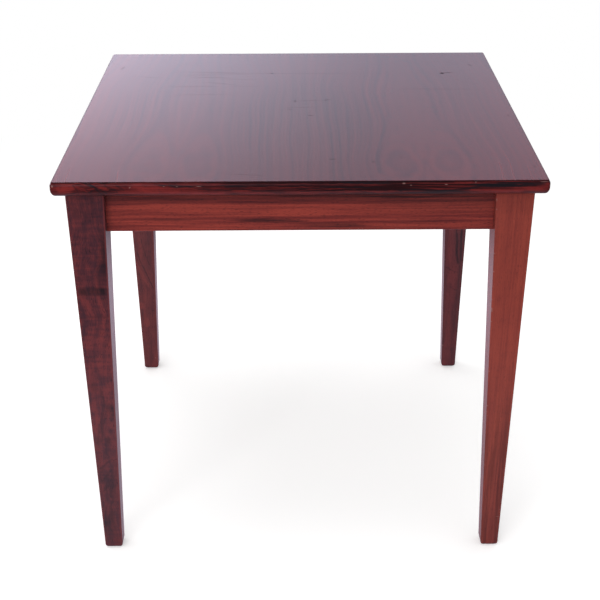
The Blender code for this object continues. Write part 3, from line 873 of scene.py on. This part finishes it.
# The front lipping has the figure and the wear that the photo shows
LIPPING_BOARDS["front"] = Board(
    "XZY", "lipping_light", "lipping_dark", (310, 0, 0), band=2.2, sway=2, reach=70, slope=0.4, ink=0.22,
    ink_band=1.4, coat=0.24, fray=2.6, cloud=0.5, shade="lipping_shade", wisp=0.2,
    swirls=marks((-232, 10, 34, 20, 10), (20, 10, 160, 20, 3)),
    veins=(
        Vein(2.4, 0.6, ((-241, 17), (-230.2, 13), (-226.2, 9.5), (-224.3, 6), (-220, 1.5))),
        Vein(1.8, 0.5, ((-236, 16.8), (-223.5, 10.2), (-218, 5.6), (-215, 2.5))),
        Vein(2, 0.5, ((-219, 16), (-214, 11.5), (-206, 9.2), (-203, 4))),
        Vein(2, 0.45, ((-254, 15), (-249, 10), (-247, 3))),
        Vein(1.8, 0.45, ((-206, 15), (-201, 12), (-196, 9))),
        Vein(1.8, 0.4, ((-240, 11), (-236, 7), (-233, 3))),
        Vein(1.2, 0.55, ((-150, 16.8), (-140.6, 12.2), (-125.6, 13), (-112.7, 10), (-97.8, 8.8),
             (-82.8, 8.2), (-66.8, 9.3), (-48.6, 7.8), (-32.6, 7.7), (-18.7, 8.8), (15.5, 9.8),
             (38.2, 11))),
        Vein(1, 0.6, ((20, 12.5), (38.2, 11.8), (54.2, 9.4), (65, 7), (75.8, 4.1), (88.5, 2.4),
             (110, 1.8))),
        Vein(0.8, 0.8, ((-160, 14.5), (-140.6, 13.5), (-125.6, 13.6), (-105, 13.2))),
        Vein(1.2, 0.8, ((-85, 12.2), (-70, 12.6), (-58, 12))),
        Vein(2, 0.75, ((110, 2), (154.1, 4.6), (173.8, 7.4), (189.7, 9), (203.5, 12), (223.5, 11.4),
             (243.4, 11.8), (263.2, 13), (279, 14.4))),
    ),
    dark_marks=marks(
        (10, 14.5, 160, 6, 0.3), (75, 9, 85, 8.5, 0.12), (130, 5, 70, 5, 0.35), (232, 13.8, 62, 3.6, 0.7),
        (-225, 10, 34, 10, 0.18), (-145, 14.5, 45, 2.6, 0.35),
    ),
    # The first shade is painted shade: a dark band along the top of the nose, under the arris, where the
    # nose mirrors the dark room above
    shades=marks(
        (0, 17.4, 600, 2.6, 0.95), (20, 14, 200, 11.5, 1), (120, 10, 140, 11, 0.9),
        (140, 3.5, 50, 4, 0.55), (0, 1.5, 600, 3, 0.4), (80, 8, 240, 12, 0.3), (235, 13.5, 60, 3.4, 0.5),
        (-220, 10, 40, 12, 0.3),
    ),
    light_marks=marks(
        (-262, 10, 14, 6, 0.5), (-165, 7, 50, 6, 0.5), (-105, 3, 34, 3, 0.6), (-46, 4, 22, 1.6, 0.8),
        (10, 4.5, 30, 2.2, 0.5), (130, 15, 16, 1.8, 0.7), (182, 15.6, 12, 1.6, 1.2),
        (215, 6, 40, 3.5, 0.5), (262, 8, 16, 3, 0.6),
    ),
    # The chips at -276.5 and 272.5 along, at the ends of the nose, are painted highlights: glints on the
    # rounded corners
    chips=marks(
        (-190, 12, 1.2, 1.2, 0.5, 0.6), (115.8, 15.2, 2.2, 1, 0.6), (123.7, 13, 1.4, 0.9, 0.4),
        (163, 13.8, 2.2, 0.7, 0.6), (196, 16, 0.6, 1.4, 0.5, 0.5), (-152, 13.2, 1.4, 0.6, 0.5),
        (-137.5, 12.8, 1.6, 0.6, 0.5), (-113, 13, 4, 0.6, 0.5), (-276.5, 13.8, 1.4, 1.8, 0.6),
        (272.5, 16.2, 6, 0.5, 0.4),
    ),
)
# Where the nicks are along the front arris, in metres
FRONT_NICKS = (0.1158, 0.1630, 0.1960)


class TABLE_OT_lippings(bpy.types.Operator):
    """Fit the four mitred edge lippings"""
    bl_idname = "table.lippings"
    bl_label = "Lippings"

    def execute(self, context):
        settings = context.scene.side_table
        for index, side in enumerate(SIDES):
            node = f"lipping_{side}"
            finish = rosewood(node, LIPPING_BOARDS[side], settings.colours)
            bm = self.sawn_frame(settings.top, index)
            if side == "front":
                self.add_nicks(bm, settings.top)
            to_piece(f"edge_{node}", bm, finish, node)
        return {"FINISHED"}

    def profile(self, sizes):
        """(inset, height) section: round below, upright, then the nose up to the veneer."""
        points = [(LIPPING_WIDTH, UNDERSIDE)]
        radius = sizes.lower_round
        for angle in arc(0, pi / 2, LOWER_STEPS):
            points.append((radius * (1 - sin(angle)), UNDERSIDE + radius * (1 - cos(angle))))
        points += nose_points(sizes, TABLE_HEIGHT - sizes.nose_drop, VENEER_BASE, NOSE_STEPS)
        points.append((LIPPING_WIDTH, VENEER_BASE))
        return points

    def sawn_frame(self, sizes, index):
        """The section swept round the top, then sawn to one side by its two mitres."""
        bm = bmesh.new()
        rings = [[bm.verts.new((x, y, height)) for x, y in top_outline(sizes, inset)]
                 for inset, height in self.profile(sizes)]
        skin(bm, rings + rings[:1])
        bmesh.ops.remove_doubles(bm, verts=bm.verts, dist=SAME_PLACE)
        half_run, half_reach = (HALF_DEPTH, HALF_WIDTH) if index % 2 else (HALF_WIDTH, HALF_DEPTH)
        place = side_place(index)
        for end in (-1, 1):
            normal = (place.to_3x3() @ Vector((end, 1, 0))).normalized()
            cut_line(bm, place @ Vector((end * half_run, -half_reach, 0)), normal, saw_off=True)
        return bm

    def add_nicks(self, bm, sizes):
        """Small bruises in the arris of the front edge."""
        reach = sizes.nick_length / 2
        lowest = VENEER_BASE - sizes.nick_depth
        back = LIPPING_WIDTH / 2 - HALF_DEPTH
        cuts = (-1, -0.4, 0, 0.4, 1)
        inside = 0.99
        for middle in FRONT_NICKS:
            for share in cuts:
                cut_line(bm, (middle + share * reach, 0, 0), (1, 0, 0))
            for vertex in bm.verts:
                share = abs(vertex.co.x - middle) / reach
                if share < inside and vertex.co.z > lowest and vertex.co.y < back:
                    vertex.co.y += sizes.nick_depth * (1 - share)


LEG_BOARDS = {
    "front_left": leg_board(
        "dark_leg_light", "dark_leg_dark", (0, 500, 0), front=5, band=12, sway=14, reach=70, ink=0.05,
        ink_band=6, contrast=0.85, cloud=0.6, ripple=0.38, fray=7, wear=0.0, rim=0.8,
        swirls=marks((120, 26, 130, 30, 12)),
        veins=(
            Vein(3, 0.3, ((244, 20), (221.3, 26), (202.8, 22), (180.7, 17), (156.1, 14))),
            Vein(2.2, 0.25, ((229, 31), (208, 28), (185, 21), (160, 19))),
            Vein(3, 0.35, ((122.5, 14.8), (131, 23), (139.1, 32))),
            Vein(2.6, 0.35, ((103, 16), (113, 23), (124, 30))),
            Vein(2.2, 0.35, ((88, 17), (98, 24), (109, 29))),
        ),
        shades=marks(
            (485, 26, 30, 40, 0.3), (405, 33, 60, 8, 0.3), (372.4, 22, 7.5, 30, 0.6),
            (425, 35, 45, 6, 0.3), (70, 23, 140, 30, 0.3), (339, 26, 3, 16, 0.4), (243, 14.6, 10, 7, 0.35),
            (207, 34, 16, 6, 0.45), (166.3, 28.4, 8, 6, 0.35), (95, 25, 32, 10, 0.3),
            (112, 17, 15, 6, 0.2), (45, 22, 35, 12, 0.36),
        ),
        light_marks=marks((300, 26, 50, 12, 0.2), (165, 16, 60, 5, 0.35), (40, 30, 20, 6, 0.1)),
    ),
    "front_right": leg_board(
        "light_leg_light", "light_leg_dark", (1000, 200, 0), front=5, sway=2, reach=300, ink=0.0,
        contrast=0.55, cloud=0.25, shade="lipping_shade", pore=0.3, coat=0.42, wear=0.6,
        shades=marks((10, 28, 290, 120, 0.52), (250, 48, 200, 9, 0.18), (485, 23, 22, 40, 0.15)),
        light_marks=marks((150, 21, 120, 8, 0.4)),
        chips=marks((202.3, 38.6, 0.6, 3, 0.5, 1.5), (46.6, 34, 0.5, 3, 0.4, 1)),
    ),
    "back_right": leg_board(
        "dark_leg_light", "mid_leg_dark", (2200, 700, 0), front=6, band=8, sway=8, reach=100, ink=0.10,
        ink_band=4, cloud=0.35, fray=4,
        veins=(
            Vein(2.4, 0.6, ((260, 22), (228.3, 25), (205.9, 26), (185, 30))),
            Vein(2.4, 0.6, ((250, 31), (214.4, 32.8), (190, 34))),
            Vein(3.4, 0.3, ((183, 11), (177, 18), (172, 31))),
            Vein(3, 0.25, ((155, 18), (145, 22), (140, 31))),
        ),
        shades=marks((215, 28, 35, 6, 0.35), (90, 28, 60, 6, 0.3)),
        light_marks=marks((230, 15, 50, 5, 0.5), (160, 20, 15, 9, 0.4)),
        chips=marks((41.2, 14, 1.2, 1, 0.7)),
    ),
    "back_left": leg_board(
        "mid_leg_light", "mid_leg_dark", (3000, 900, 0), front=6, band=9, sway=12, reach=90, ink=0.05,
        ink_band=4, cloud=0.45, contrast=0.8, fray=4, wear=0.0, rim=0.9,
        veins=(
            Vein(1.6, 0.45, ((215, 10), (195.5, 15), (172.6, 24.8), (145.2, 34.5))),
            Vein(1.4, 0.35, ((235, 18), (205, 24), (185, 31))),
        ),
        shades=marks((100, 32, 90, 5, 0.25), (30, 21, 30, 8, 0.25)),
        light_marks=marks(
            (116.5, 13.3, 7, 5, 0.9), (86.1, 20.4, 11, 5, 0.8), (170, 18, 30, 3, 0.6, -0.35),
        ),
        chips=marks((20.3, 32.7, 1, 1, 0.7)),
    ),
}


class TABLE_OT_legs(bpy.types.Operator):
    """Stand the four tapered legs"""
    bl_idname = "table.legs"
    bl_label = "Legs"

    def execute(self, context):
        settings = context.scene.side_table
        for corner in CORNERS:
            node = f"leg_{corner}"
            low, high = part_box(node)
            middle = (low + high) / 2
            near = self.near_arris(settings.frame, (middle.x - low.x) / MM)
            finish = rosewood(node, LEG_BOARDS[corner], settings.colours, near)
            bm = self.tapered(settings.frame, high.z)
            bmesh.ops.translate(bm, verts=bm.verts, vec=(middle.x, middle.y, 0))
            to_piece(f"tapered_{node}", bm, finish, node)
        return {"FINISHED"}

    def near_arris(self, sizes, half_box):
        """From 0 on the faces of a leg to 1 on its long arrises, at places in millimetres in its box."""
        def near(nodes, along, level, inward):
            width = leg_half_width(sizes, along * MM) * (2 / MM)
            return nodes.step(abs(level - half_box) + abs(inward - half_box) - width, -2.2, -0.6)
        return near

    def tapered(self, sizes, top):
        """Rounded squares stacked from the rounded foot up to the underside of the top."""
        levels = []
        for angle in arc(0, pi / 2, FOOT_STEPS):
            height = sizes.foot_round * (1 - cos(angle))
            levels.append((leg_half_width(sizes, height) - sizes.foot_round * (1 - sin(angle)), height))
        for height in arc(sizes.foot_round, UNDERSIDE, LEG_STEPS)[1:]:
            levels.append((leg_half_width(sizes, min(height, top)), height))
        return stacked([(rounded_rectangle(half, half, sizes.leg_arris, ARRIS_STEPS), height)
                        for half, height in levels])


APRON_BOARDS = hidden_boards("apron", ((1400, 200, 0), (2400, 300, 0), (3400, 400, 0)),
                             band=5, sway=3, reach=300, ink=0.12)
APRON_BOARDS["front"] = Board(
    "XZY", "apron_light", "apron_dark", (400, 100, 0), reach=200, ink=0.06, contrast=1.1, fray=3,
    # The first shade is painted shadow along the top of the rail, under the overhang of the top; the last
    # two are painted shade at its ends beside the legs
    shades=marks(
        (0, 50.3, 600, 20, 0.6), (-35, 12.8, 55, 3.6, 0.75, -0.02), (35, 6.8, 55, 4, 0.6, -0.02),
        (170, 38.3, 150, 24, 0.28), (140, 11.3, 70, 2, 0.28), (-150, 14.3, 40, 2.6, 0.32),
        (224, 25.3, 2.2, 70, 0.85), (-224, 25.3, 1.8, 70, 0.6),
    ),
    light_marks=marks(
        (-130, 29.3, 110, 9, 0.4), (-170, 11.3, 70, 5, 0.25), (-130, 4.3, 120, 5, 0.3),
        (0, 23.3, 60, 7, 0.35),
    ),
)


class TABLE_OT_aprons(bpy.types.Operator):
    """Fit the four aprons between the legs"""
    bl_idname = "table.aprons"
    bl_label = "Aprons"

    def execute(self, context):
        settings = context.scene.side_table
        for index, side in enumerate(SIDES):
            node = f"apron_{side}"
            finish = rosewood(node, APRON_BOARDS[side], settings.colours)
            to_piece(f"apron_rail_{side}", self.rail(settings.frame, index), finish, node)
        return {"FINISHED"}

    def rail(self, sizes, index):
        """The section of a rail, from leg to leg, its ends cut to their taper."""
        place = side_place(index)
        corners = [place.inverted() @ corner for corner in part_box(f"apron_{SIDES[index]}")]
        front, back = sorted(corner.y for corner in corners)
        foot = corners[0].z
        leg = place.inverted() @ (sum(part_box(f"leg_{CORNERS[index]}"), Vector()) / 2)
        radius = sizes.apron_arris
        section = []
        for angle in arc(0, pi / 2, ARRIS_STEPS):
            section.append((front + radius * (1 - cos(angle)), foot + radius * (1 - sin(angle))))
        for angle in arc(pi / 2, 0, ARRIS_STEPS):
            section.append((back - radius * (1 - cos(angle)), foot + radius * (1 - sin(angle))))
        section += [(back, UNDERSIDE), (front, UNDERSIDE)]
        bm = bmesh.new()
        ends = []
        for end in (-1, 1):
            ring = []
            for across, height in section:
                reach = abs(leg.x) - leg_half_width(sizes, height)
                ring.append(bm.verts.new((end * reach, across, height)))
            ends.append(ring)
            bm.faces.new(ring)
        skin(bm, ends)
        bmesh.ops.transform(bm, matrix=place, verts=bm.verts)
        return bm


class TABLE_OT_blocks(bpy.types.Operator):
    """Fit the notched block in each corner of the frame"""
    bl_idname = "table.blocks"
    bl_label = "Corner blocks"

    def execute(self, context):
        settings = context.scene.side_table
        colours = settings.colours
        for index, corner in enumerate(CORNERS):
            axes = "XYZ" if index % 2 else "YXZ"
            finish = beech(f"beech_block_{corner}", axes, colours)
            rails = (SIDES[index], SIDES[index - 1])
            screws = [f"apron_screw_{rails[0]}_{rails[1]}", f"apron_screw_{rails[1]}_{rails[0]}",
                      f"top_screw_{corner}"]
            holes = [self.screw_hole(settings.screw, screw) for screw in screws]
            block = carved(self.planed(settings.frame, index), holes)
            to_piece(f"notched_block_{corner}", block, finish, f"corner_block_{corner}")
        return {"FINISHED"}

    def planed(self, sizes, index):
        """Two arms along the aprons, notched round the leg, with softened edges."""
        place = side_place(index)
        corners = [place.inverted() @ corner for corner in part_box(f"corner_block_{CORNERS[index]}")]
        start = Vector([min(values) for values in zip(*corners)])
        arm = abs(corners[1].x - corners[0].x)
        land = sizes.block_land
        notch = sizes.block_notch
        outline = ((notch, 0), (arm, 0), (arm, land), (land, arm), (0, arm), (0, notch), (notch, notch))
        bm = stacked([(outline, 0), (outline, abs(corners[1].z - corners[0].z))])
        bmesh.ops.bevel(bm, geom=bm.edges[:], offset=sizes.block_ease, segments=2, profile=0.5,
                        affect="EDGES")
        bmesh.ops.transform(bm, matrix=place @ Matrix.Translation(start), verts=bm.verts)
        return bm

    def screw_hole(self, sizes, screw):
        """A counterbore up to the head, a countersink and a clearance hole."""
        place, reach = screw_place(screw)
        room = sizes.clearance
        head = sizes.head / 2 + room
        shank = sizes.shank / 2 + room
        levels = ((head, -reach), (head, sizes.head_rim + room), (shank, sizes.head_height + room),
                  (shank, reach + room))
        bm = stacked([(circle(radius, HOLE_FACETS), level) for radius, level in levels])
        bmesh.ops.transform(bm, matrix=place, verts=bm.verts)
        return bm


class TABLE_OT_screws(bpy.types.Operator):
    """Drive the slotted wood screws"""
    bl_idname = "table.screws"
    bl_label = "Screws"

    def execute(self, context):
        sizes = context.scene.side_table.screw
        finish = zinc()
        for subpart in frame["record"]["subparts"]:
            node = subpart["node"]
            if "_screw_" in node:
                place, reach = screw_place(node)
                bm = carved(self.threaded(sizes, reach), [self.slot(sizes)])
                bmesh.ops.transform(bm, matrix=place, verts=bm.verts)
                to_piece(f"slotted_{node}", bm, finish, node)
        return {"FINISHED"}

    def threaded(self, sizes, reach):
        """A countersunk head, a plain shank and a thread that runs out to the point."""
        plain_share = 0.35
        blunt_point = 0.05
        head = circle(sizes.head / 2, SCREW_FACETS)
        shank = circle(sizes.shank / 2, SCREW_FACETS)
        outlines = [(head, 0), (head, sizes.head_rim), (shank, sizes.head_height)]
        start = plain_share * reach
        rings = round((reach - start) / sizes.pitch * RINGS_A_TURN)
        for level in arc(start, reach, rings):
            taper = min(1, max(blunt_point, (reach - level) / sizes.point))

            def radius(angle):
                phase = (level / sizes.pitch - angle / (2 * pi)) % 1
                ridge = 1 - abs(2 * phase - 1)
                return taper * (sizes.core + (sizes.shank - sizes.core) * ridge) / 2

            outlines.append((circle(radius, SCREW_FACETS), level))
        return stacked(outlines)

    def slot(self, sizes):
        """The bar that the driver slot is cut with."""
        half_length = sizes.head
        outline = rounded_rectangle(half_length, sizes.slot_width / 2, 0, 1)
        return stacked([(outline, -sizes.slot_depth), (outline, sizes.slot_depth)])


class TABLE_OT_inside(bpy.types.Operator):
    """Finish the core, the balancing veneer and the dowels"""
    bl_idname = "table.inside"
    bl_label = "Core, balancing veneer and dowels"

    def execute(self, context):
        colours = context.scene.side_table.colours
        finishes = {
            "core_board": chipboard(),
            "balancing_veneer": plain_wood("balancing_veneer", "YXZ", colours.backing_light,
                                           colours.backing_dark, 6, 0.55),
            "beech": beech("beech", "XYZ", colours),
        }
        for subpart in frame["record"]["subparts"]:
            finish = finishes.get(subpart["material_slot"])
            node = frame["nodes"][subpart["node"]]
            if finish and not node.hide_render:
                node.data.materials.clear()
                node.data.materials.append(finish)
        return {"FINISHED"}


STEPS = (TABLE_OT_stage, TABLE_OT_veneer, TABLE_OT_lippings, TABLE_OT_legs, TABLE_OT_aprons,
         TABLE_OT_blocks, TABLE_OT_screws, TABLE_OT_inside)


class TABLE_PT_panel(bpy.types.Panel):
    """The steps that make the table, and what can be changed"""
    bl_label = "Side table"
    bl_space_type = "VIEW_3D"
    bl_region_type = "UI"
    bl_category = "Side table"

    def draw(self, context):
        settings = context.scene.side_table
        for step in STEPS:
            self.layout.operator(step.bl_idname)
        for group in (settings.top, settings.frame, settings.screw, settings.colours, settings.stage):
            box = self.layout.box()
            for name in group.bl_rna.properties.keys():
                if name not in {"rna_type", "name"}:
                    box.prop(group, name)


CLASSES = (TopSizes, FrameSizes, ScrewSizes, Colours, StageSettings, TableSettings, *STEPS, TABLE_PT_panel)


def register():
    for cls in CLASSES:
        bpy.utils.register_class(cls)
    bpy.types.Scene.side_table = PointerProperty(type=TableSettings)


def unregister():
    del bpy.types.Scene.side_table
    for cls in reversed(CLASSES):
        bpy.utils.unregister_class(cls)


def main():
    register()
    for step in STEPS:
        group, name = step.bl_idname.split(".")
        getattr(getattr(bpy.ops, group), name)()


if __name__ == "__main__":
    main()
